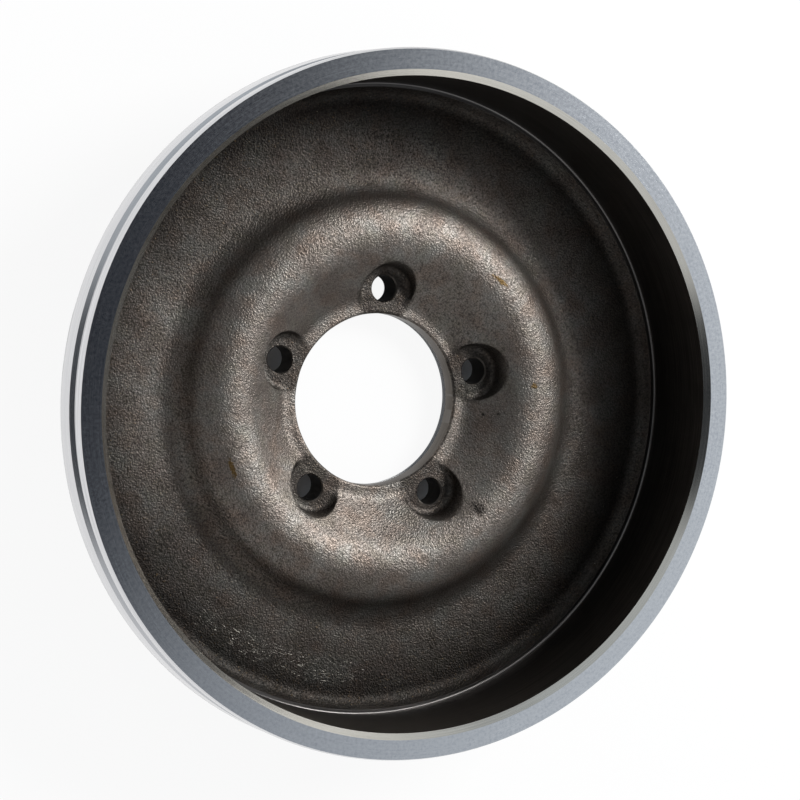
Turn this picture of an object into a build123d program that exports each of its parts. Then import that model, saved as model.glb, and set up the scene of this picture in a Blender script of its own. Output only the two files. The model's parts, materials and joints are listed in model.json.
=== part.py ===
from build123d import *
import os
from math import radians, tan

# Brake drum: one grey iron casting, machined on the braking band, the rim, the bore and the
# mounting face. Millimetres. +Z is the axis, out of the open end, and the origin is the centre
# of the mounting face on the closed end.

# Heights above the mounting face
overall_height = 84.5        # to the rim face
hub_thickness = 16.5         # the hub face round the bore
register_depth = 5.5         # the pilot register, cut up from the mounting face
ridge_apex_height = 47.2     # where the two flanks of the ridge would meet, before its round
valley_height = 18.5         # the low ring between the ridge and the web
web_height = 21.5            # the web where it turns up to the braking band

# Braking band and mouth
band_diameter = 355.6        # 14 in
band_width = 50.8            # 2 in
mouth_chamfer_height = 4.5
mouth_chamfer_width = 2.9
band_corner_radius = 2.0     # tool radius at the inner end of the band
shoulder_width = 4.3         # machined step between the band and the rough web

# Outside of the ring
ring_wall = 8.0              # behind the braking band
rim_face_width = 12.1        # from the mouth's chamfer out to the lip
lip_height = 6.7
lip_round = 1.9
groove_depth = 2.2           # round the outside of the rim, for the backing plate's edge
groove_width = 9.7
groove_flare = 1.5           # run of each sloping side of the groove
flange_stand_out = 1.4       # beyond the lip, in radius
flange_height = 12.8
flange_taper = 1.0           # the flange's front edge is this much smaller in radius
flange_back_fall = 2.8       # slope on the flange's hidden side
back_corner_radius = 15.0

# Hub
bore_diameter = 98.4         # 3 7/8 in
hub_land = 7.5               # flat ring round the bore, before the dish starts to rise
register_clearance = 4.8     # the register's radius less the bore's
stud_inset = 14.3            # bore wall to the centres of the stud holes
stud_count = 5
stud_hole_diameter = 15.1    # 19/32 in
stud_hole_chamfer = 0.7
stud_turn = -2.7             # degrees, from a hole on +Y
pocket_shift = 3.0           # the pocket's centre is this far inside the stud circle
pocket_floor_diameter = 33.0 # clears the stud's head
pocket_floor_rise = 0.3      # above the hub face, so the floor runs out into it
pocket_floor_round = 4.0     # between the pocket's floor and its wall
pocket_draft = 8.0           # degrees, on the pocket's wall
pad_margin = 5.0             # metal outside the stud holes on the mounting face
pad_draft_run = 2.5

# Web
dish_run = 42.8              # from the hub land to the ridge's apex, in radius
ridge_run = 22.5             # from the apex out to the valley
web_thickness = 9.0
dish_round = 10.0
ridge_round = 26.0
valley_round = 12.0
web_corner_round = 8.0
bore_edge_chamfer = 0.8

# Radii that follow from the sizes above
bore_radius = bore_diameter / 2
register_radius = bore_radius + register_clearance
stud_circle_radius = bore_radius + stud_inset
pad_radius = stud_circle_radius + stud_hole_diameter / 2 + pad_margin
land_radius = bore_radius + hub_land
ridge_radius = land_radius + dish_run
valley_radius = ridge_radius + ridge_run
band_radius = band_diameter / 2
shoulder_radius = band_radius - shoulder_width
web_end_radius = shoulder_radius - web_corner_round / 2
ring_radius = band_radius + ring_wall
lip_radius = band_radius + mouth_chamfer_width + rim_face_width
flange_radius = lip_radius + flange_stand_out
stud_hole_radius = stud_hole_diameter / 2
pocket_floor_radius = pocket_floor_diameter / 2
pocket_circle_radius = stud_circle_radius - pocket_shift

# Heights that follow
band_top = overall_height - mouth_chamfer_height
shoulder_height = band_top - band_width - band_corner_radius
groove_top = overall_height - lip_height
groove_bottom = groove_top - groove_width
flange_bottom = groove_bottom - flange_height
pocket_floor_height = hub_thickness + pocket_floor_rise
pocket_height = ridge_apex_height - pocket_floor_height


def corner_behind(before, corner, after):
    """The corner one web thickness behind a corner of the inner surface."""
    inward = (corner - before).rotate(Axis.Y, 90).normalized()
    outward = (after - corner).rotate(Axis.Y, 90).normalized()
    return corner + (inward + outward) * (web_thickness / (1 + inward.dot(outward)))


def section_point(radius, height):
    return Vector(radius, 0, height)


# The inner surface of the web, from the bore out to the shoulder
land_end = section_point(land_radius, hub_thickness)
ridge_apex = section_point(ridge_radius, ridge_apex_height)
valley = section_point(valley_radius, valley_height)
web_end = section_point(web_end_radius, web_height)
shoulder = section_point(shoulder_radius, shoulder_height)

# Its back, one web thickness behind
ridge_apex_back = corner_behind(land_end, ridge_apex, valley)
valley_back = corner_behind(ridge_apex, valley, web_end)
web_back_height = web_height - web_thickness
dish_slope = (ridge_apex.Z - land_end.Z) / (ridge_apex.X - land_end.X)
pad_top_radius = pad_radius + pad_draft_run
pad_top_height = ridge_apex_back.Z - (ridge_apex_back.X - pad_top_radius) * dish_slope

# Half section: each corner with the radius of its round, 0 where it is sharp
section = [
    (section_point(bore_radius, hub_thickness - bore_edge_chamfer), 0),
    (section_point(bore_radius + bore_edge_chamfer, hub_thickness), 0),
    (land_end, dish_round),
    (ridge_apex, ridge_round),
    (valley, valley_round),
    (web_end, web_corner_round),
    (shoulder, 0),
    (section_point(band_radius, shoulder_height), band_corner_radius),
    (section_point(band_radius, band_top), 0),
    (section_point(band_radius + mouth_chamfer_width, overall_height), 0),
    (section_point(lip_radius, overall_height), lip_round),
    (section_point(lip_radius, groove_top), 0),
    (section_point(lip_radius - groove_depth, groove_top - groove_flare), 0),
    (section_point(lip_radius - groove_depth, groove_bottom + groove_flare), 0),
    (section_point(flange_radius - flange_taper, groove_bottom), 0),
    (section_point(flange_radius, flange_bottom), 0),
    (section_point(ring_radius, flange_bottom - flange_back_fall), 0),
    (section_point(ring_radius, web_back_height), back_corner_radius),
    (valley_back, valley_round + web_thickness),
    (ridge_apex_back, ridge_round - web_thickness),
    (section_point(pad_top_radius, pad_top_height), 0),
    (section_point(pad_radius, 0), 0),
    (section_point(register_radius, 0), 0),
    (section_point(register_radius, register_depth), 0),
    (section_point(bore_radius, register_depth), 0),
]

with BuildPart() as brake_drum:
    with BuildSketch(Plane.XZ):
        with BuildLine():
            FilletPolyline(
                [(point.X, point.Z) for point, _ in section],
                radius=[corner_round for _, corner_round in section],
                close=True,
            )
        make_face()
    revolve(axis=Axis.Z)

    # A pocket round each stud hole, sunk into the rise of the dish
    with BuildPart(mode=Mode.PRIVATE) as pocket:
        with Locations((0, 0, pocket_floor_height)):
            Cone(
                pocket_floor_radius,
                pocket_floor_radius + pocket_height * tan(radians(pocket_draft)),
                pocket_height,
                align=(Align.CENTER, Align.CENTER, Align.MIN),
            )
        fillet(pocket.edges().sort_by(Axis.Z)[0], pocket_floor_round)
    with PolarLocations(pocket_circle_radius, stud_count, start_angle=90 + stud_turn):
        add(pocket.part, mode=Mode.SUBTRACT)

    # Stud holes through the hub, each with a small chamfer at the pocket's floor
    with PolarLocations(stud_circle_radius, stud_count, start_angle=90 + stud_turn):
        Cylinder(stud_hole_radius, 4 * hub_thickness, mode=Mode.SUBTRACT)
    with Locations((0, 0, pocket_floor_height - stud_hole_chamfer)):
        with PolarLocations(stud_circle_radius, stud_count, start_angle=90 + stud_turn):
            Cone(
                stud_hole_radius,
                stud_hole_radius + 2 * stud_hole_chamfer,
                2 * stud_hole_chamfer,
                align=(Align.CENTER, Align.CENTER, Align.MIN),
                mode=Mode.SUBTRACT,
            )

os.makedirs("parts", exist_ok=True)
brake_drum.part.label = "brake_drum"
export_step(brake_drum.part, "parts/brake_drum.step")
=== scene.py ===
import json
import math
import bmesh
import bpy
import numpy as np
from mathutils import Matrix, Vector, noise


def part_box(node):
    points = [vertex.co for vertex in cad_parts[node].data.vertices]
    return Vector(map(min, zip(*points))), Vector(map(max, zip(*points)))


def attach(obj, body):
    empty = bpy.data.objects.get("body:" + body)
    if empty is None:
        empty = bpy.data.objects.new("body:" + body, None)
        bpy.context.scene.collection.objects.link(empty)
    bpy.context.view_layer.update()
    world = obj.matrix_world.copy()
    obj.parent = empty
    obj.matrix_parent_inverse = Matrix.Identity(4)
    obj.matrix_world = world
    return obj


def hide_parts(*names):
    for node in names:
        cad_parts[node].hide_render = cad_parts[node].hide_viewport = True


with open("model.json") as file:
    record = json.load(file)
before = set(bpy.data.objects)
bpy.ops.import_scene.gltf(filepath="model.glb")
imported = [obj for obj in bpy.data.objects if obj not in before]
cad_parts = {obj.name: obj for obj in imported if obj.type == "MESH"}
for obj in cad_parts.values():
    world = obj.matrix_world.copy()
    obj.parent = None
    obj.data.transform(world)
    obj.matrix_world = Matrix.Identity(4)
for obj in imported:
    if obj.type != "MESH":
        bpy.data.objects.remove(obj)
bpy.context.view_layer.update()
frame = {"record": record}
mm = 0.001
sharpAngle = 35           # degrees, edges that turn more are shaded sharp
drumNode = "brake_drum"
_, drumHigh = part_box(drumNode)
mounts = {mount["name"]: mount for mount in frame["record"]["mounts"]}
print("frame loaded, drum height", round(drumHigh.z / mm, 1), "mm")


# sRGB hex to the linear colour that Blender's sockets take
def linearColour(hexText):
    channels = [int(hexText[i:i + 2], 16) / 255 for i in (1, 3, 5)]
    linear = [c / 12.92 if c <= 0.04045 else ((c + 0.055) / 1.055) ** 2.4 for c in channels]
    return (*linear, 1)


# adds a node: settings go to its inputs, to a ramp's stops or to its own properties
def addNode(tree, kind, settings=None, links=None):
    node = tree.nodes.new(kind)
    for name, value in (settings or {}).items():
        if name == "stops":
            stops = node.color_ramp.elements
            for _ in value[2:]:
                stops.new(1)
            for stop, (position, colour) in zip(stops, value):
                stop.position = position
                stop.color = linearColour(colour) if isinstance(colour, str) else (colour, colour, colour, 1)
        elif isinstance(name, int) or name in node.inputs:
            node.inputs[name].default_value = value
        else:
            setattr(node, name, value)
    for name, source in (links or {}).items():
        if isinstance(source, bpy.types.Node):
            source = next(output for output in source.outputs if output.enabled)
        tree.links.new(source, node.inputs[name])
    return node


def newMaterial(name):
    material = bpy.data.materials.new(name)
    material.use_nodes = True
    tree = material.node_tree
    tree.nodes.clear()
    return material, tree


camera = {
    "fromAxisX": -464.3,      # mm, from the drum's axis
    "fromAxisY": 67.7,
    "aboveRim": 970.2,
    "forward": (0.41834, -0.05925, -0.90636),
    "up": (0.0, 0.99788, -0.06523),
    "lens": 90,
    "sensor": 36,
    "farEnd": 20,             # m
}


def makeCamera(sizes):
    lens = bpy.data.cameras.new("studioCamera")
    lens.lens = sizes["lens"]
    lens.sensor_width = sizes["sensor"]
    lens.clip_end = sizes["farEnd"]
    holder = bpy.data.objects.new("studioCamera", lens)
    bpy.context.scene.collection.objects.link(holder)
    forward = Vector(sizes["forward"]).normalized()
    right = forward.cross(Vector(sizes["up"])).normalized()
    up = right.cross(forward)
    turn = Matrix((right, up, -forward)).transposed().to_4x4()
    place = Vector((sizes["fromAxisX"], sizes["fromAxisY"], sizes["aboveRim"])) * mm
    place.z += drumHigh.z
    holder.matrix_world = Matrix.Translation(place) @ turn
    bpy.context.scene.camera = holder


makeCamera(camera)
print("camera placed")


casting = {
    "registerDepth": mounts["pilot_register"]["dims"]["length_mm"],
    "hubThickness": 16.5,
    "boreEdge": 1.5,
    "hubLand": 7.5,
    "dishRun": 42.8,
    "ridgeApexHeight": 47.2,
    "ridgeRun": 22.5,
    "valleyHeight": 18.5,
    "webHeight": 21.5,
    "webThickness": 9.0,
    "shoulderHeight": 27.2,
    "shoulderWidth": 1.8,
    "bandCorner": 1.3,
    "reliefDepth": 1.0,
    "reliefWidth": 2.2,
    "mouthHeight": 3.1,
    "mouthWidth": 3.1,
    "rimFaceWidth": 11.9,
    "lipHeight": 5.7,
    # the lip's two facets: how far in they start, how far in and down they meet, and how far down they end
    "lipCut": (1.2, 0.4, 1.8, 4.0),
    "lipCutRound": 0.4,
    "grooveDepth": 2.2,
    "grooveWidth": 10.4,
    "grooveFlare": 1.5,
    "flangeStandOut": 1.4,
    "flangeHeight": 13.1,
    "flangeTaper": 1.0,
    "flangeBackFall": 2.8,
    "ringWall": 8.0,
    "backCorner": 15.0,
    "padMargin": 5.0,
    "padDraftRun": 2.5,
    "dishRound": 10.0,
    "ridgeRound": 26.0,
    "valleyRound": 18.0,
    "webCornerRound": 8.0,
    "edgeRound": 0.5,
    "flangeEdgeRound": 0.25,
    "backEdgeRound": 2.0,
    "pocketShift": 3.0,       # the pocket's centre lies this far inside the stud circle
    "pocketFloorRadius": 16.5,
    "pocketFloorRound": 4.0,
    "pocketFloorRise": 0.3,
    "pocketDraft": 8.0,       # degrees
    "pocketEdgeRound": 1.6,
    "pocketReach": 25.0,      # how far from its centre a pocket draws the mesh
    "pocketSamples": 260,     # places on the way out from its centre
    "boreKept": 0.6,          # left as it is outside the round of the bore
    "fineRadius": 88.0,       # the mesh is finer inside this
    "lumps": [(38, 0.30), (15, 0.16), (7, 0.06)],      # size and height in mm
    "lumpsTo": 188.0,         # the flange keeps its true size, so the lumps stop inside it
    "lumpsFade": 4.0,
    "studTurn": -2.7,         # degrees from a hole on +Y
    "holeChamfer": 0.7,
    "drillSides": 96,
    "drillBelow": 5.0,        # past the mounting face
    "drillAbove": 3.0,        # past the pocket's floor
}


def cornerBehind(before, corner, after, depth):
    def behind(step):
        return np.array((step[1], -step[0])) / np.hypot(*step)
    first, second = behind(corner - before), behind(after - corner)
    return corner + (first + second) * depth / (1 + first @ second)


# the half section as corners: radius, height, round, and the surface that starts there
def sectionCorners(c):
    bore = mounts["centre_bore"]["dims"]["r_mm"]
    register = mounts["pilot_register"]["dims"]["r_mm"]
    band = mounts["braking_band"]["dims"]["r_mm"]
    studs = mounts["stud_holes"]["dims"]
    top = drumHigh.z / mm
    land = np.array((bore + c["hubLand"], c["hubThickness"]))
    apex = np.array((land[0] + c["dishRun"], c["ridgeApexHeight"]))
    valley = np.array((apex[0] + c["ridgeRun"], c["valleyHeight"]))
    shoulder = np.array((band - c["shoulderWidth"], c["shoulderHeight"]))
    webEnd = np.array((shoulder[0] - c["webCornerRound"] / 2, c["webHeight"]))
    apexBack = cornerBehind(land, apex, valley, c["webThickness"])
    valleyBack = cornerBehind(apex, valley, webEnd, c["webThickness"])
    slope = (apex[1] - land[1]) / (apex[0] - land[0])
    pad = studs["pcd_mm"] / 2 + studs["hole_r_mm"] + c["padMargin"]
    padTop = pad + c["padDraftRun"]
    ring = band + c["ringWall"]
    lip = band + c["mouthWidth"] + c["rimFaceWidth"]
    flange = lip + c["flangeStandOut"]
    grooveTop = top - c["lipHeight"]
    grooveBottom = grooveTop - c["grooveWidth"]
    flangeBottom = grooveBottom - c["flangeHeight"]
    cutStart, cutIn, cutDown, cutEnd = c["lipCut"]
    small = c["edgeRound"]
    return [
        (bore, c["hubThickness"], c["boreEdge"], "hubCast"),
        (land[0], land[1], c["dishRound"], "dishCast"),
        (apex[0], apex[1], c["ridgeRound"], "webCast"),
        (valley[0], valley[1], c["valleyRound"], "webCast"),
        (webEnd[0], webEnd[1], c["webCornerRound"], "webCast"),
        (shoulder[0], shoulder[1], 0, "band"),
        (band + c["reliefDepth"], shoulder[1], c["bandCorner"], "band"),
        (band + c["reliefDepth"], shoulder[1] + c["reliefWidth"], 0, "band"),
        (band, shoulder[1] + c["reliefWidth"] + c["reliefDepth"], 0, "band"),
        (band, top - c["mouthHeight"], 0, "mouth"),
        (band + c["mouthWidth"], top, 0, "rimFace"),
        (lip - cutStart, top, 0, "lip"),
        (lip - cutIn, top - cutDown, c["lipCutRound"], "lip"),
        (lip, top - cutEnd, small, "lip"),
        (lip, grooveTop, small, "lip"),
        (lip - c["grooveDepth"], grooveTop - c["grooveFlare"], small, "lip"),
        (lip - c["grooveDepth"], grooveBottom + c["grooveFlare"], small, "lip"),
        (flange - c["flangeTaper"], grooveBottom, c["flangeEdgeRound"], "lip"),
        (flange, flangeBottom, small, "backCast"),
        (ring, flangeBottom - c["flangeBackFall"], c["backEdgeRound"], "backCast"),
        (ring, c["webHeight"] - c["webThickness"], c["backCorner"], "backCast"),
        (valleyBack[0], valleyBack[1], c["valleyRound"] + c["webThickness"], "backCast"),
        (apexBack[0], apexBack[1], c["ridgeRound"] - c["webThickness"], "backCast"),
        (padTop, apexBack[1] - (apexBack[0] - padTop) * slope, c["backEdgeRound"], "backCast"),
        (pad, 0, 0, "bored"),
        (register, 0, 0, "bored"),
        (register, c["registerDepth"], 0, "bored"),
        (bore, c["registerDepth"], 0, "bored"),
    ]


rowSpacing = {            # mm between rows of vertices along the section
    "bored": 8, "hubCast": 0.8, "dishCast": 0.75, "webCast": 1.8, "band": 10,
    "mouth": 3, "rimFace": 4, "lip": 6, "backCast": 6,
}
roundStep = 0.3           # radians, at most, between rows on a round
turnSteps = {             # vertices round the axis in the rows of each surface
    "bored": 200, "hubCast": 800, "dishCast": 800, "webCast": 400, "band": 200,
    "mouth": 200, "rimFace": 200, "lip": 200, "backCast": 200,
}
surfaceOrder = ["hubCast", "dishCast", "webCast", "backCast", "band", "mouth", "rimFace", "lip", "bored"]


# rounds each corner and samples the runs between; gives points with their surfaces
def sampleSection(corners, fineRadius):
    count = len(corners)
    places = [np.array(corner[:2], float) for corner in corners]
    rounds = []
    for i, (_, _, size, _) in enumerate(corners):
        into, out = places[i] - places[i - 1], places[(i + 1) % count] - places[i]
        into, out = into / np.hypot(*into), out / np.hypot(*out)
        turn = math.atan2(into[0] * out[1] - into[1] * out[0], into @ out)
        reach = size * math.tan(abs(turn) / 2)
        rounds.append((places[i] - into * reach, into, turn))
    points, names = [], []
    for i, (_, _, size, surface) in enumerate(corners):
        start, into, turn = rounds[i]
        spacing = rowSpacing[surface]
        points.append(start)
        if size:
            steps = max(3, math.ceil(size * abs(turn) / spacing), math.ceil(abs(turn) / roundStep))
            side = np.array((-into[1], into[0])) * math.copysign(size, turn)
            for step in range(1, steps + 1):
                angle = turn * step / steps
                spoke = np.array((-side[0] * math.cos(angle) + side[1] * math.sin(angle),
                                  -side[0] * math.sin(angle) - side[1] * math.cos(angle)))
                points.append(start + side + spoke)
        run = rounds[(i + 1) % count][0] - points[-1]
        steps = max(1, round(np.hypot(*run) / spacing))
        last = points[-1]
        points += [last + run * step / steps for step in range(1, steps)]
        names += [surface] * (len(points) - len(names))
    names = ["dishCast" if name == "webCast" and point[0] < fineRadius else name
             for point, name in zip(points, names)]
    return np.array(points), names


# the lower of two heights, with their crossing rounded over the given size
def softLower(first, second, size):
    near = np.clip(0.5 + (second - first) / (2 * size), 0, 1)
    return second + (first - second) * near - size * near * (1 - near)


def studAngles(c):
    count = mounts["stud_holes"]["dims"]["count"]
    return [math.radians(90 + c["studTurn"] + 360 / count * k) for k in range(count)]


# height of the pocket's own floor and wall at a distance from its centre
def pocketHeight(away, c):
    floor = c["hubThickness"] + c["pocketFloorRise"]
    size, foot = c["pocketFloorRound"], c["pocketFloorRadius"] - c["pocketFloorRound"]
    steep = 1 / math.tan(math.radians(c["pocketDraft"]))
    out = np.clip(away - foot, 0, None)
    leave = size * math.cos(math.radians(c["pocketDraft"]))      # where the round meets the wall
    curve = size - np.sqrt(np.clip(size ** 2 - np.minimum(out, leave) ** 2, 0, None))
    return floor + curve + np.clip(out - leave, 0, None) * steep


# sinks a pocket: points near it are drawn along its wall so that they stay evenly spaced
def sinkPockets(ring, dishRadii, dishHeights, c):
    studs = mounts["stud_holes"]["dims"]
    middle = studs["pcd_mm"] / 2 - c["pocketShift"]
    inner = mounts["centre_bore"]["dims"]["r_mm"] + c["boreEdge"] + c["boreKept"]
    share = np.linspace(0, 1, c["pocketSamples"])
    for angle in studAngles(c):
        centre = middle * np.array((math.cos(angle), math.sin(angle)))
        offset = ring[:, :2] - centre
        away = np.hypot(offset[:, 0], offset[:, 1])
        near = np.nonzero((away < c["pocketReach"]) & (away > 1e-6))[0]
        if not len(near):
            continue
        way = offset[near] / away[near, None]
        # how far the pull reaches in this direction: not past the edge of the bore
        inward = way @ centre
        cut = inward ** 2 - (middle ** 2 - inner ** 2)
        toBore = np.where((inward < 0) & (cut > 0), -inward - np.sqrt(np.clip(cut, 0, None)), 1e9)
        reach = np.minimum(c["pocketReach"], toBore)
        inside = away[near] < reach
        near, way, reach = near[inside], way[inside], reach[inside]
        along = share[None, :] * reach[:, None]
        places = centre[None, None, :] + along[..., None] * way[:, None, :]
        dish = np.interp(np.hypot(places[..., 0], places[..., 1]), dishRadii, dishHeights)
        heights = softLower(dish, pocketHeight(along, c), c["pocketEdgeRound"])
        heights = np.maximum(heights, np.minimum(dish, c["hubThickness"]))
        steps = np.hypot(np.diff(along, axis=1), np.diff(heights, axis=1))
        walked = np.concatenate((np.zeros((len(near), 1)), np.cumsum(steps, axis=1)), axis=1)
        for row, index in enumerate(near):
            wanted = walked[row, -1] * away[index] / reach[row]
            distance = np.interp(wanted, walked[row], along[row])
            ring[index, :2] = centre + way[row] * distance
            ring[index, 2] = np.interp(distance, along[row], heights[row])


# joins two rings of vertices whose counts may differ by a whole factor
def bridgeRings(mesh, ring, after, slot):
    coarse = min(len(ring), len(after))
    step, afterStep = len(ring) // coarse, len(after) // coarse
    for k in range(coarse):
        first = [ring[(k * step + n) % len(ring)] for n in range(step + 1)]
        second = [after[(k * afterStep + n) % len(after)] for n in range(afterStep + 1)]
        if step == afterStep:
            faces = [(first[0], first[1], second[1], second[0])]
        elif step > afterStep:
            half = step // 2
            faces = [(first[n], first[n + 1], second[0 if n < half else 1]) for n in range(step)]
            faces.append((first[half], second[1], second[0]))
        else:
            half = afterStep // 2
            faces = [(second[n + 1], second[n], first[0 if n < half else 1]) for n in range(afterStep)]
            faces.append((second[half], first[0], first[1]))
        for corners in faces:
            mesh.faces.new(corners).material_index = slot


# low lumps of the sand mould's skin, in mm
def castLump(place, c):
    fade = min(1, max(0, (c["lumpsTo"] - math.hypot(place.x, place.y)) / c["lumpsFade"]))
    return fade * sum(height * noise.noise(place / size) for size, height in c["lumps"])


def turnCasting(c):
    points, names = sampleSection(sectionCorners(c), c["fineRadius"])
    front = [i for i, name in enumerate(names) if name in ("hubCast", "dishCast", "webCast")]
    dishRadii, dishHeights = points[front, 0], points[front, 1]
    mesh = bmesh.new()
    rings = []
    for (radius, height), name in zip(points, names):
        steps = turnSteps[name]
        angles = np.arange(steps) * 2 * math.pi / steps
        ring = np.stack((radius * np.cos(angles), radius * np.sin(angles), np.full(steps, height)), 1)
        if name in ("hubCast", "dishCast"):
            sinkPockets(ring, dishRadii, dishHeights, c)
        rings.append([mesh.verts.new(place) for place in ring * mm])
    for i, ring in enumerate(rings):
        bridgeRings(mesh, ring, rings[(i + 1) % len(rings)], surfaceOrder.index(names[i]))
    bmesh.ops.recalc_face_normals(mesh, faces=mesh.faces[:])
    castSlots = {surfaceOrder.index(name) for name in ("hubCast", "dishCast", "webCast", "backCast")}
    mesh.normal_update()
    moves = []
    for vertex in mesh.verts:
        if all(face.material_index in castSlots for face in vertex.link_faces):
            moves.append((vertex, vertex.normal * castLump(vertex.co / mm, c) * mm))
    for vertex, move in moves:
        vertex.co += move
    return mesh


def addMesh(mesh, name):
    data = bpy.data.meshes.new(name)
    mesh.to_mesh(data)
    mesh.free()
    data.shade_smooth()
    data.set_sharp_from_angle(angle=math.radians(sharpAngle))
    piece = bpy.data.objects.new(name, data)
    bpy.context.scene.collection.objects.link(piece)
    return piece


# the drills for the stud holes, each with the chamfer at the pocket's floor
def studDrills(c):
    studs = mounts["stud_holes"]["dims"]
    radius = studs["hole_r_mm"]
    floor = c["hubThickness"] + c["pocketFloorRise"]
    wide = radius + c["holeChamfer"]
    outline = [(radius, -c["drillBelow"]), (radius, floor - c["holeChamfer"]), (wide, floor),
               (wide, floor + c["drillAbove"])]
    sides = c["drillSides"]
    turns = [2 * math.pi * k / sides for k in range(sides)]
    drills = bmesh.new()
    for angle in studAngles(c):
        centre = studs["pcd_mm"] / 2 * np.array((math.cos(angle), math.sin(angle)))
        rings = [[drills.verts.new(((centre[0] + r * math.cos(turn)) * mm,
                                    (centre[1] + r * math.sin(turn)) * mm, height * mm)) for turn in turns]
                 for r, height in outline]
        for lower, upper in zip(rings, rings[1:]):
            bridgeRings(drills, lower, upper, surfaceOrder.index("bored"))
        for cap in (rings[0][::-1], rings[-1]):
            drills.faces.new(cap).material_index = surfaceOrder.index("bored")
    return drills


drum = addMesh(turnCasting(casting), "brakeDrumCasting")
print("casting turned,", len(drum.data.polygons), "faces")


# a point's place, its height, its distance from the axis and its direction from it
def turnedPlace(tree):
    place = addNode(tree, "ShaderNodeTexCoord").outputs["Object"]
    axes = addNode(tree, "ShaderNodeSeparateXYZ", links={0: place})
    flat = addNode(tree, "ShaderNodeCombineXYZ", links={"X": axes.outputs["X"], "Y": axes.outputs["Y"]})
    radius = addNode(tree, "ShaderNodeVectorMath", {"operation": "LENGTH"}, {0: flat}).outputs["Value"]
    heading = addNode(tree, "ShaderNodeVectorMath", {"operation": "NORMALIZE"}, {0: flat}).outputs["Vector"]
    return place, axes.outputs["Z"], radius, heading


# where any of the marks lies: x, y, half length and half width in mm, turn in degrees
def markedPlaces(tree, place, marks):
    mask = None
    for x, y, half, wide, turn in marks:
        local = addNode(tree, "ShaderNodeMapping",
                        {"vector_type": "TEXTURE", "Location": (x * mm, y * mm, 0),
                         "Rotation": (0, 0, math.radians(turn)), "Scale": (half * mm, wide * mm, 1)},
                        {0: place})
        fall = addNode(tree, "ShaderNodeTexGradient", {"gradient_type": "SPHERICAL"}, {0: local})
        spot = fall.outputs["Fac"]
        mask = addNode(tree, "ShaderNodeMath", {"operation": "MAXIMUM"}, {0: mask, 1: spot}) if mask else spot
    return mask


# as-cast grey iron: the dull brown-grey skin of a sand mould, whose grain glints in fine specks
castSkin = {              # sizes in mm
    "patchSize": 18, "stainSize": 12, "grainSize": 0.85, "pebbleSize": 1.25,
    "colours": [(0.35, "#6b635d"), (0.5, "#746d67"), (0.65, "#78746f")],
    "stains": [(0.35, "#fff8f3"), (0.5, "#ffffff"), (0.65, "#f8f9f5")],
    "hollow": 0.5, "peak": 1.3, "rough": (0.6, 0.38), "grainDepth": 0.36, "metallic": 0.95,
    "reliefLevels": (-0.05, 0.45), "roughLevels": (0.0, 0.4),     # of the skin's height, for hollow and peak
    # painted shade, partly a darker skin: the colour darkens from the hub out to the wall, where shade falls:
    # distance from the axis and the share of colour left
    "soot": [(100, 1.0), (110, 1.25), (118, 0.72), (126, 0.42), (150, 0.24), (167, 0.09), (180, 0.2)],
    "sootTo": 200,            # distance at the end of the ramps
    # painted light: outside the ridge the colour is lightened towards two sides, where light falls:
    # direction, where it starts and share
    "worn": [((-1.0, 0.03, 0.0), 0.82, 1.7), ((0.9, 0.43, 0.0), 0.3, 2.2)],
    "wornFrom": (106, 126),
    "pocketSoot": 0, "pocketSootReach": (15.0, 18.5), "marks": [], "rubbed": None,
}
# marks: colour, level where they begin, share, then x, y, half length and half width in mm, turn in degrees
rust = {"colour": "#5a4314", "from": 0.66, "share": 0.8,          # thin orange-brown film
        "places": [(66.5, 69.4, 9, 1.9, -32), (90.7, 9.3, 2.8, 2.4, -59), (-93.4, -36, 8, 2.1, -70)]}
pits = {"colour": "#0d0b0a", "from": 0.85, "share": 0.9,          # dark holes left by sand
        "places": [(58, -62, 12, 8, -52), (65.3, -8.2, 2.4, 2.0, 0), (72.6, -7.6, 2.2, 1.8, 0)]}
markEdge = 0.12           # how softly the marks end
markReach = 0.6           # how much a mark counts against the grain that tears its edge
# the dish gets painted shade in its pockets, besides the marks
dishSkin = dict(castSkin, pocketSoot=0.38, marks=[rust, pits])
# a tool has skimmed the high grain along one arc of the web, in broken bright lines round the axis
webSkin = dict(castSkin, marks=[rust], rubbed={
    "lineWidth": 0.55, "lineTurns": 34, "towards": (-0.36, -0.933, 0.0), "arcFrom": 0.88, "arcFull": 0.975,
    "arcLift": 0.16, "belt": [(146, 0.0), (150, 1.0), (161, 1.0), (165, 0.0)], "level": 1.045, "edge": 0.04,
    "colour": "#858179",
})
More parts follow.
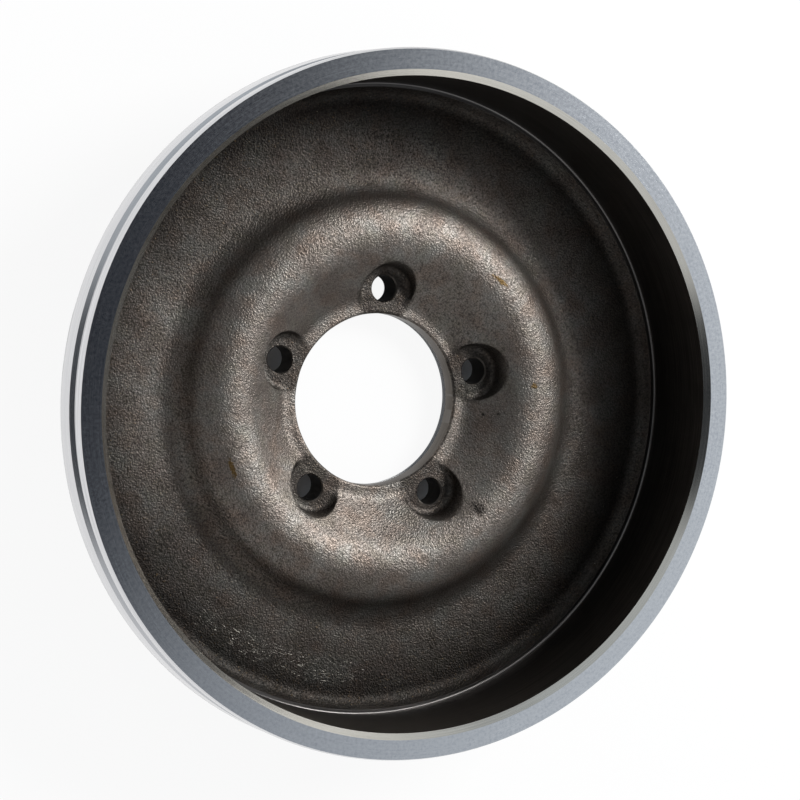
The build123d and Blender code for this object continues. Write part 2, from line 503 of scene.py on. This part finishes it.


# paints shade into the pockets by darkening their colour: the angle is folded, so that one pocket stands for
# all
def shadePockets(tree, shade, radius, heading, values):
    studs = mounts["stud_holes"]["dims"]
    middle = (studs["pcd_mm"] / 2 - casting["pocketShift"]) * mm
    sector = math.pi / studs["count"]
    inner, edge = values["pocketSootReach"]
    way = addNode(tree, "ShaderNodeSeparateXYZ", links={0: heading}).outputs
    angle = addNode(tree, "ShaderNodeMath", {"operation": "ARCTAN2"}, {0: way["Y"], 1: way["X"]})
    turned = addNode(tree, "ShaderNodeMath", {"operation": "SUBTRACT", 1: studAngles(casting)[0]}, {0: angle})
    folded = addNode(tree, "ShaderNodeMath", {"operation": "WRAP", 1: sector, 2: -sector}, {0: turned})
    cosine = addNode(tree, "ShaderNodeMath", {"operation": "COSINE"}, {0: folded})
    reach = addNode(tree, "ShaderNodeMath", {"operation": "MULTIPLY"}, {0: cosine, 1: radius})
    # the squared distance from the pocket's centre
    rest = addNode(tree, "ShaderNodeMath", {"operation": "MULTIPLY_ADD", 1: -2 * middle, 2: middle ** 2},
                   {0: reach})
    away = addNode(tree, "ShaderNodeMath", {"operation": "MULTIPLY_ADD"}, {0: radius, 1: radius, 2: rest})
    dark = addNode(tree, "ShaderNodeMapRange",
                   {"interpolation_type": "SMOOTHSTEP", "From Min": (inner * mm) ** 2,
                    "From Max": (edge * mm) ** 2, "To Min": values["pocketSoot"], "To Max": 1.0}, {0: away})
    return addNode(tree, "ShaderNodeMath", {"operation": "MULTIPLY"}, {0: shade, 1: dark})


# lays the broken rubbed lines over the colour
def rubLines(tree, colour, grain, outward, radius, heading, rub, rampTo):
    rows = addNode(tree, "ShaderNodeMath", {"operation": "DIVIDE", 1: rub["lineWidth"] * mm}, {0: radius})
    around = addNode(tree, "ShaderNodeVectorMath", {"operation": "SCALE", "Scale": rub["lineTurns"]},
                     {0: heading})
    shift = addNode(tree, "ShaderNodeCombineXYZ", links={"Z": rows})
    place = addNode(tree, "ShaderNodeVectorMath", {"operation": "ADD"}, {0: around, 1: shift})
    lines = addNode(tree, "ShaderNodeTexNoise", {"Scale": 1.0, "Detail": 2}, {0: place})
    side = addNode(tree, "ShaderNodeVectorMath", {"operation": "DOT_PRODUCT", 1: rub["towards"]},
                   {0: heading})
    arc = addNode(tree, "ShaderNodeMapRange", {"From Min": rub["arcFrom"], "From Max": rub["arcFull"],
                                               "To Max": rub["arcLift"]}, {0: side})
    belt = addNode(tree, "ShaderNodeValToRGB", {"stops": [(r / rampTo, share) for r, share in rub["belt"]]},
                   {0: outward})
    there = addNode(tree, "ShaderNodeMath", {"operation": "MULTIPLY"}, {0: arc, 1: belt})
    high = addNode(tree, "ShaderNodeMath", {"operation": "MULTIPLY_ADD", 1: 0.5}, {0: grain, 2: there})
    level = addNode(tree, "ShaderNodeMath", {"operation": "ADD"}, {0: high, 1: lines})
    mask = addNode(tree, "ShaderNodeMapRange",
                   {"From Min": rub["level"], "From Max": rub["level"] + rub["edge"]}, {0: level})
    return addNode(tree, "ShaderNodeMix", {"data_type": "RGBA", 7: linearColour(rub["colour"])},
                   {0: mask, 6: colour})


def castIronMaterial(name, values):
    material, tree = newMaterial(name)
    place, _, radius, heading = turnedPlace(tree)
    patches = addNode(tree, "ShaderNodeTexNoise", {"Scale": 1 / (values["patchSize"] * mm), "Detail": 3},
                      {0: place})
    stains = addNode(tree, "ShaderNodeTexNoise", {"Scale": 1 / (values["stainSize"] * mm)}, {0: place})
    grain = addNode(tree, "ShaderNodeTexNoise", {"Scale": 1 / (values["grainSize"] * mm), "Roughness": 0.6},
                    {0: place})
    pebbles = addNode(tree, "ShaderNodeTexVoronoi",
                      {"feature": "SMOOTH_F1", "Scale": 1 / (values["pebbleSize"] * mm), "Smoothness": 0.6},
                      {0: place})
    half = addNode(tree, "ShaderNodeMath", {"operation": "MULTIPLY", 1: 0.5}, {0: pebbles})
    skin = addNode(tree, "ShaderNodeMath", {"operation": "SUBTRACT"}, {0: grain, 1: half})
    hue = addNode(tree, "ShaderNodeValToRGB", {"stops": values["colours"]}, {0: patches})
    tint = addNode(tree, "ShaderNodeValToRGB", {"stops": values["stains"]}, {0: stains})
    stained = addNode(tree, "ShaderNodeMix", {"data_type": "RGBA", "blend_type": "MULTIPLY", 0: 1.0},
                      {6: hue, 7: tint})
    low, high = values["reliefLevels"]
    relief = addNode(tree, "ShaderNodeMapRange", {"From Min": low, "From Max": high,
                                                  "To Min": values["hollow"], "To Max": values["peak"]},
                     {0: skin})
    rampTo = values["sootTo"]
    outward = addNode(tree, "ShaderNodeMath", {"operation": "DIVIDE", 1: rampTo * mm}, {0: radius})
    # painted shade, partly a darker skin: this ramp darkens the colour from the hub out to the wall
    stops = [(r / rampTo, share) for r, share in values["soot"]]
    soot = addNode(tree, "ShaderNodeValToRGB", {"stops": stops}, {0: outward})
    outerFrom, outerFull = values["wornFrom"]
    outer = addNode(tree, "ShaderNodeMapRange",
                    {"interpolation_type": "SMOOTHSTEP", "From Min": outerFrom * mm,
                     "From Max": outerFull * mm}, {0: radius})
    shade = addNode(tree, "ShaderNodeMath", {"operation": "MULTIPLY"}, {0: relief, 1: soot})
    # painted light: outside the ridge the colour is lightened towards two sides
    for direction, start, share in values["worn"]:
        side = addNode(tree, "ShaderNodeVectorMath", {"operation": "DOT_PRODUCT", 1: direction}, {0: heading})
        worn = addNode(tree, "ShaderNodeMapRange", {"interpolation_type": "SMOOTHSTEP", "From Min": start,
                                                    "To Min": 1.0, "To Max": share}, {0: side})
        sideLighting = addNode(tree, "ShaderNodeMix", {2: 1.0}, {0: outer, 3: worn})
        shade = addNode(tree, "ShaderNodeMath", {"operation": "MULTIPLY"}, {0: shade, 1: sideLighting})
    # painted shade: the colour darkens inside the pockets
    if values["pocketSoot"]:
        shade = shadePockets(tree, shade, radius, heading, values)
    colour = addNode(tree, "ShaderNodeVectorMath", {"operation": "SCALE"}, {0: stained, "Scale": shade})
    for marks in values["marks"]:
        spots = markedPlaces(tree, place, marks["places"])
        torn = addNode(tree, "ShaderNodeMath", {"operation": "MULTIPLY_ADD", 1: markReach},
                       {0: spots, 2: grain})
        mask = addNode(tree, "ShaderNodeMapRange",
                       {"From Min": marks["from"], "From Max": marks["from"] + markEdge,
                        "To Max": marks["share"]}, {0: torn})
        colour = addNode(tree, "ShaderNodeMix", {"data_type": "RGBA", 7: linearColour(marks["colour"])},
                         {0: mask, 6: colour})
    if values["rubbed"]:
        colour = rubLines(tree, colour, grain, outward, radius, heading, values["rubbed"], rampTo)
    hollowRough, peakRough = values["rough"]
    low, high = values["roughLevels"]
    rough = addNode(tree, "ShaderNodeMapRange", {"From Min": low, "From Max": high, "To Min": hollowRough,
                                                 "To Max": peakRough}, {0: skin})
    bump = addNode(tree, "ShaderNodeBump", {"Strength": 1.0, "Distance": values["grainDepth"] * mm},
                   {"Height": skin})
    shader = addNode(tree, "ShaderNodeBsdfPrincipled", {"Metallic": values["metallic"]},
                     {"Base Color": colour, "Roughness": rough, "Normal": bump})
    addNode(tree, "ShaderNodeOutputMaterial", links={"Surface": shader})
    return material


# turned iron: fine cuts run round the axis, so light draws out in streaks across them
turnedBand = {            # sizes in mm; the real cuts are finer and wouldn't show, so they are drawn coarser
    "streakTurns": 3.0, "streakWidth": 0.9, "patchSize": 30, "streakShare": 0.8,
    "colours": [(0.3, "#52504e"), (0.5, "#6c6967"), (0.7, "#85817e")],
    "rough": (0.30, 0.42), "roughLevels": (0.3, 0.7), "streakDepth": 0.02, "metallic": 1.0,
    "anisotropic": 0.6,
    "dull": ((1.0, 0.0, 0.0), 0.9, 1.0),               # painted shade: towards which side the colour is darkened, start and share
}
# faced with a fine cut: an even pale silver with a fine grain
facedRim = dict(turnedBand, streakWidth=0.8, streakTurns=6.0, patchSize=1.8, streakShare=0.3,
                streakDepth=0.008, anisotropic=0.1, rough=(0.12, 0.16),
                colours=[(0.3, "#bcbfc5"), (0.5, "#d0d2d5"), (0.7, "#dbdde0")])
# a single bright cut, warmer than the rim, with painted shade darkening one side
mouthCut = dict(turnedBand, streakWidth=0.6, rough=(0.18, 0.25), anisotropic=0.3,
                dull=((-0.98, -0.17, 0.0), 0.6, 0.4),
                colours=[(0.3, "#c2bfb7"), (0.5, "#cfccc4"), (0.7, "#dad8d1")])
# a bright turned edge, darkened towards one side by painted shade
lipCut = dict(turnedBand, streakWidth=0.7, rough=(0.2, 0.28), dull=((0.8, 0.6, 0.0), 0.1, 0.6),
              colours=[(0.3, "#c9cacd"), (0.5, "#d6d6d8"), (0.7, "#e2e2e4")])
# bored: a soft brown-grey, partly the iron's own tone, partly painted shade so that the bore and the stud
# holes look dark inside
boredCut = dict(turnedBand, rough=(0.4, 0.5), colours=[(0.3, "#47423e"), (0.5, "#57524d"), (0.7, "#67625c")])


def turnedIronMaterial(name, values):
    material, tree = newMaterial(name)
    place, height, radius, heading = turnedPlace(tree)
    along = addNode(tree, "ShaderNodeMath", {"operation": "ADD"}, {0: radius, 1: height})
    rows = addNode(tree, "ShaderNodeMath", {"operation": "DIVIDE", 1: values["streakWidth"] * mm}, {0: along})
    around = addNode(tree, "ShaderNodeVectorMath", {"operation": "SCALE", "Scale": values["streakTurns"]},
                     {0: heading})
    shift = addNode(tree, "ShaderNodeCombineXYZ", links={"Z": rows})
    cuts = addNode(tree, "ShaderNodeVectorMath", {"operation": "ADD"}, {0: around, 1: shift})
    streaks = addNode(tree, "ShaderNodeTexNoise", {"Scale": 1.0, "Detail": 3, "Roughness": 0.6}, {0: cuts})
    patches = addNode(tree, "ShaderNodeTexNoise",
                      {"Scale": 1 / (values["patchSize"] * mm), "Detail": 4, "Roughness": 0.6}, {0: place})
    mixed = addNode(tree, "ShaderNodeMix", {0: values["streakShare"]}, {2: patches, 3: streaks})
    bright = addNode(tree, "ShaderNodeValToRGB", {"stops": values["colours"]}, {0: mixed})
    # painted shade: the colour darkens towards one side
    direction, start, share = values["dull"]
    side = addNode(tree, "ShaderNodeVectorMath", {"operation": "DOT_PRODUCT", 1: direction}, {0: heading})
    dull = addNode(tree, "ShaderNodeMapRange", {"interpolation_type": "SMOOTHSTEP", "From Min": start,
                                                "To Min": 1.0, "To Max": share}, {0: side})
    colour = addNode(tree, "ShaderNodeVectorMath", {"operation": "SCALE"}, {0: bright, "Scale": dull})
    smooth, coarse = values["rough"]
    low, high = values["roughLevels"]
    rough = addNode(tree, "ShaderNodeMapRange", {"From Min": low, "From Max": high, "To Min": smooth,
                                                 "To Max": coarse}, {0: mixed})
    bump = addNode(tree, "ShaderNodeBump", {"Strength": 1.0, "Distance": values["streakDepth"] * mm},
                   {"Height": streaks})
    grooves = addNode(tree, "ShaderNodeTangent", {"direction_type": "RADIAL", "axis": "Z"})
    shader = addNode(tree, "ShaderNodeBsdfPrincipled",
                     {"Metallic": values["metallic"], "Anisotropic": values["anisotropic"]},
                     {"Base Color": colour, "Roughness": rough, "Normal": bump, "Tangent": grooves})
    addNode(tree, "ShaderNodeOutputMaterial", links={"Surface": shader})
    return material


makers = {
    "hubCast": castIronMaterial("greyCastIronHub", dishSkin),
    "dishCast": castIronMaterial("greyCastIronDish", dishSkin),
    "webCast": castIronMaterial("greyCastIronWeb", webSkin),
    "backCast": castIronMaterial("greyCastIronBack", castSkin),
    "band": turnedIronMaterial("turnedCastIronBand", turnedBand),
    "mouth": turnedIronMaterial("turnedCastIronMouth", mouthCut),
    "rimFace": turnedIronMaterial("facedCastIronRim", facedRim),
    "lip": turnedIronMaterial("turnedCastIronLip", lipCut),
    "bored": turnedIronMaterial("boredCastIron", boredCut),
}
for name in surfaceOrder:
    drum.data.materials.append(makers[name])
print("materials made")

drill = addMesh(studDrills(casting), "studDrills")
for name in surfaceOrder:
    drill.data.materials.append(makers[name])
cut = drum.modifiers.new("studHoles", "BOOLEAN")
cut.operation, cut.solver, cut.object = "DIFFERENCE", "EXACT", drill
bpy.context.view_layer.update()
drilled = bpy.data.meshes.new_from_object(drum.evaluated_get(bpy.context.evaluated_depsgraph_get()))
drum.modifiers.clear()
drum.data = drilled
drilled.name = "brakeDrumCasting"
drilled.set_sharp_from_angle(angle=math.radians(sharpAngle))
bpy.data.objects.remove(drill)
print("stud holes drilled,", sum(len(p.vertices) - 2 for p in drilled.polygons), "triangles")
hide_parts(drumNode)
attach(drum, "root")


studio = {
    "floorSize": 6.0,         # m
    "floorColour": "#f2f2f2",
    "floorRough": 0.9,
    "floorSpecular": 0.1,
    "paperShare": 0.08,       # of the floor that the camera sees as lit paper, the rest is plain white
    "coveredRadius": 82.0,    # mm, inside this the mounting face covers the floor
    # painted light: inside this radius, under the bore, the floor glows white to camera and glossy rays,
    # though the drum shades it
    "boreClear": 49.8,
    # painted light: x, y and radius in mm of a spot under one stud hole that glows white to the camera,
    # though the drum shades it
    "paperSeen": (3.0, 62.0, 11.0),
    "softboxes": [            # direction, distance in m, size in m, power in W
        ((0.65, 0.44, 0.615), 1.9, (0.9, 0.9), 42.5),
    ],
    # the tent round the object: dark over the middle, lit on both sides and at the horizon
    "tentAcross": (0.935, -0.355, 0),                  # the direction that the ramp below runs along, -1 to 1
    "tent": [(0.0, "#c4c8cc"), (0.31, "#b9c0c6"), (0.36, "#1c1e25"), (0.65, "#22242b"), (0.70, "#a9aeb4"),
             (0.735, "#bec3c9"), (0.775, "#d6dbe0"), (0.9, "#dadee2")],
    # the same along Y
    "tentAlong": [(0.0, "#e0e2e4"), (0.24, "#d2d4d6"), (0.33, "#101114"), (0.74, "#101114"),
                  (0.82, "#989ea4"), (1.0, "#aab0b5")],
    # where the tent is open for the camera, and how near to that direction the opening starts and is full
    "opening": (-0.83, -0.06, 0.55), "openingColour": "#2b2e33", "openingEdge": (0.86, 0.95),
    "horizon": "#ffffff", "horizonRise": (0.04, 0.34),
    "tentStrength": 1.0,
}


def makeStudio(values):
    paper = bmesh.new()
    bmesh.ops.create_grid(paper, x_segments=1, y_segments=1, size=values["floorSize"] / 2)
    floor = addMesh(paper, "studioFloor")
    material, tree = newMaterial("mattPaperFloor")
    place, _, radius, _ = turnedPlace(tree)
    rays = addNode(tree, "ShaderNodeLightPath").outputs
    outside = addNode(tree, "ShaderNodeMath", {"operation": "GREATER_THAN", 1: values["coveredRadius"] * mm},
                      {0: radius})
    # painted light: the floor under the bore glows white, though the drum shades it
    inBore = addNode(tree, "ShaderNodeMath", {"operation": "LESS_THAN", 1: values["boreClear"] * mm},
                     {0: radius})
    # painted light: a spot under one stud hole glows white to the camera
    x, y, reach = values["paperSeen"]
    away = addNode(tree, "ShaderNodeVectorMath", {"operation": "DISTANCE", 1: (x * mm, y * mm, 0)},
                   {0: place})
    spot = addNode(tree, "ShaderNodeMath", {"operation": "LESS_THAN", 1: reach * mm}, {0: away})
    clear = addNode(tree, "ShaderNodeMath", {"operation": "MAXIMUM"}, {0: outside, 1: inBore})
    seen = addNode(tree, "ShaderNodeMath", {"operation": "MAXIMUM"},
                   {0: rays["Is Camera Ray"], 1: rays["Is Glossy Ray"]})
    around = addNode(tree, "ShaderNodeMath", {"operation": "MULTIPLY"}, {0: seen, 1: clear})
    below = addNode(tree, "ShaderNodeMath", {"operation": "MULTIPLY"}, {0: spot, 1: rays["Is Camera Ray"]})
    shown = addNode(tree, "ShaderNodeMath", {"operation": "MAXIMUM"}, {0: around, 1: below})
    share = addNode(tree, "ShaderNodeMath", {"operation": "MULTIPLY", 1: 1 - values["paperShare"]},
                    {0: shown})
    matt = addNode(tree, "ShaderNodeBsdfPrincipled", {"Base Color": linearColour(values["floorColour"]),
                                                      "Roughness": values["floorRough"],
                                                      "Specular IOR Level": values["floorSpecular"]})
    glow = addNode(tree, "ShaderNodeEmission", {"Color": (1, 1, 1, 1), "Strength": 1.0})
    mix = addNode(tree, "ShaderNodeMixShader", links={0: share, 1: matt, 2: glow})
    addNode(tree, "ShaderNodeOutputMaterial", links={"Surface": mix})
    floor.data.materials.append(material)
    for i, (direction, distance, (wide, deep), power) in enumerate(values["softboxes"]):
        lamp = bpy.data.lights.new("softbox" + str(i + 1), "AREA")
        lamp.shape, lamp.size, lamp.size_y, lamp.energy = "RECTANGLE", wide, deep, power
        holder = bpy.data.objects.new(lamp.name, lamp)
        bpy.context.scene.collection.objects.link(holder)
        holder.location = Vector(direction).normalized() * distance
        holder.rotation_mode = "QUATERNION"
        holder.rotation_quaternion = (-holder.location).to_track_quat("-Z", "Y")
    world = bpy.data.worlds.new("studioWorld")
    bpy.context.scene.world = world
    world.use_nodes = True
    tree = world.node_tree
    tree.nodes.clear()
    way = addNode(tree, "ShaderNodeTexCoord").outputs["Generated"]
    across = addNode(tree, "ShaderNodeVectorMath", {"operation": "DOT_PRODUCT", 1: values["tentAcross"]},
                     {0: way})
    place = addNode(tree, "ShaderNodeMapRange", {"From Min": -1.0, "From Max": 1.0}, {0: across})
    sides = addNode(tree, "ShaderNodeValToRGB", {"stops": values["tent"]}, {0: place})
    parts = addNode(tree, "ShaderNodeSeparateXYZ", links={0: way}).outputs
    along = addNode(tree, "ShaderNodeMapRange", {"From Min": -1.0, "From Max": 1.0}, {0: parts["Y"]})
    ends = addNode(tree, "ShaderNodeValToRGB", {"stops": values["tentAlong"]}, {0: along})
    tent = addNode(tree, "ShaderNodeMix", {"data_type": "RGBA", "blend_type": "LIGHTEN", 0: 1.0},
                   {6: sides, 7: ends})
    riseFrom, riseTo = values["horizonRise"]
    lift = addNode(tree, "ShaderNodeMapRange", {"interpolation_type": "SMOOTHSTEP", "From Min": riseFrom,
                                                "From Max": riseTo}, {0: parts["Z"]})
    sky = addNode(tree, "ShaderNodeMix", {"data_type": "RGBA", 6: linearColour(values["horizon"])},
                  {0: lift, 7: tent})
    near = addNode(tree, "ShaderNodeVectorMath", {"operation": "DOT_PRODUCT", 1: values["opening"]}, {0: way})
    edgeFrom, edgeTo = values["openingEdge"]
    hole = addNode(tree, "ShaderNodeMapRange", {"interpolation_type": "SMOOTHSTEP", "From Min": edgeFrom,
                                                "From Max": edgeTo}, {0: near})
    sky = addNode(tree, "ShaderNodeMix", {"data_type": "RGBA", 7: linearColour(values["openingColour"])},
                  {0: hole, 6: sky})
    around = addNode(tree, "ShaderNodeBackground", {"Strength": values["tentStrength"]}, {0: sky})
    plain = addNode(tree, "ShaderNodeBackground", {"Color": (1, 1, 1, 1), "Strength": 1.0})
    seen = addNode(tree, "ShaderNodeLightPath").outputs["Is Camera Ray"]
    mix = addNode(tree, "ShaderNodeMixShader", links={0: seen, 1: around, 2: plain})
    addNode(tree, "ShaderNodeOutputWorld", links={"Surface": mix})
    bpy.context.scene.view_settings.view_transform = "Standard"


makeStudio(studio)
print("studio lit")
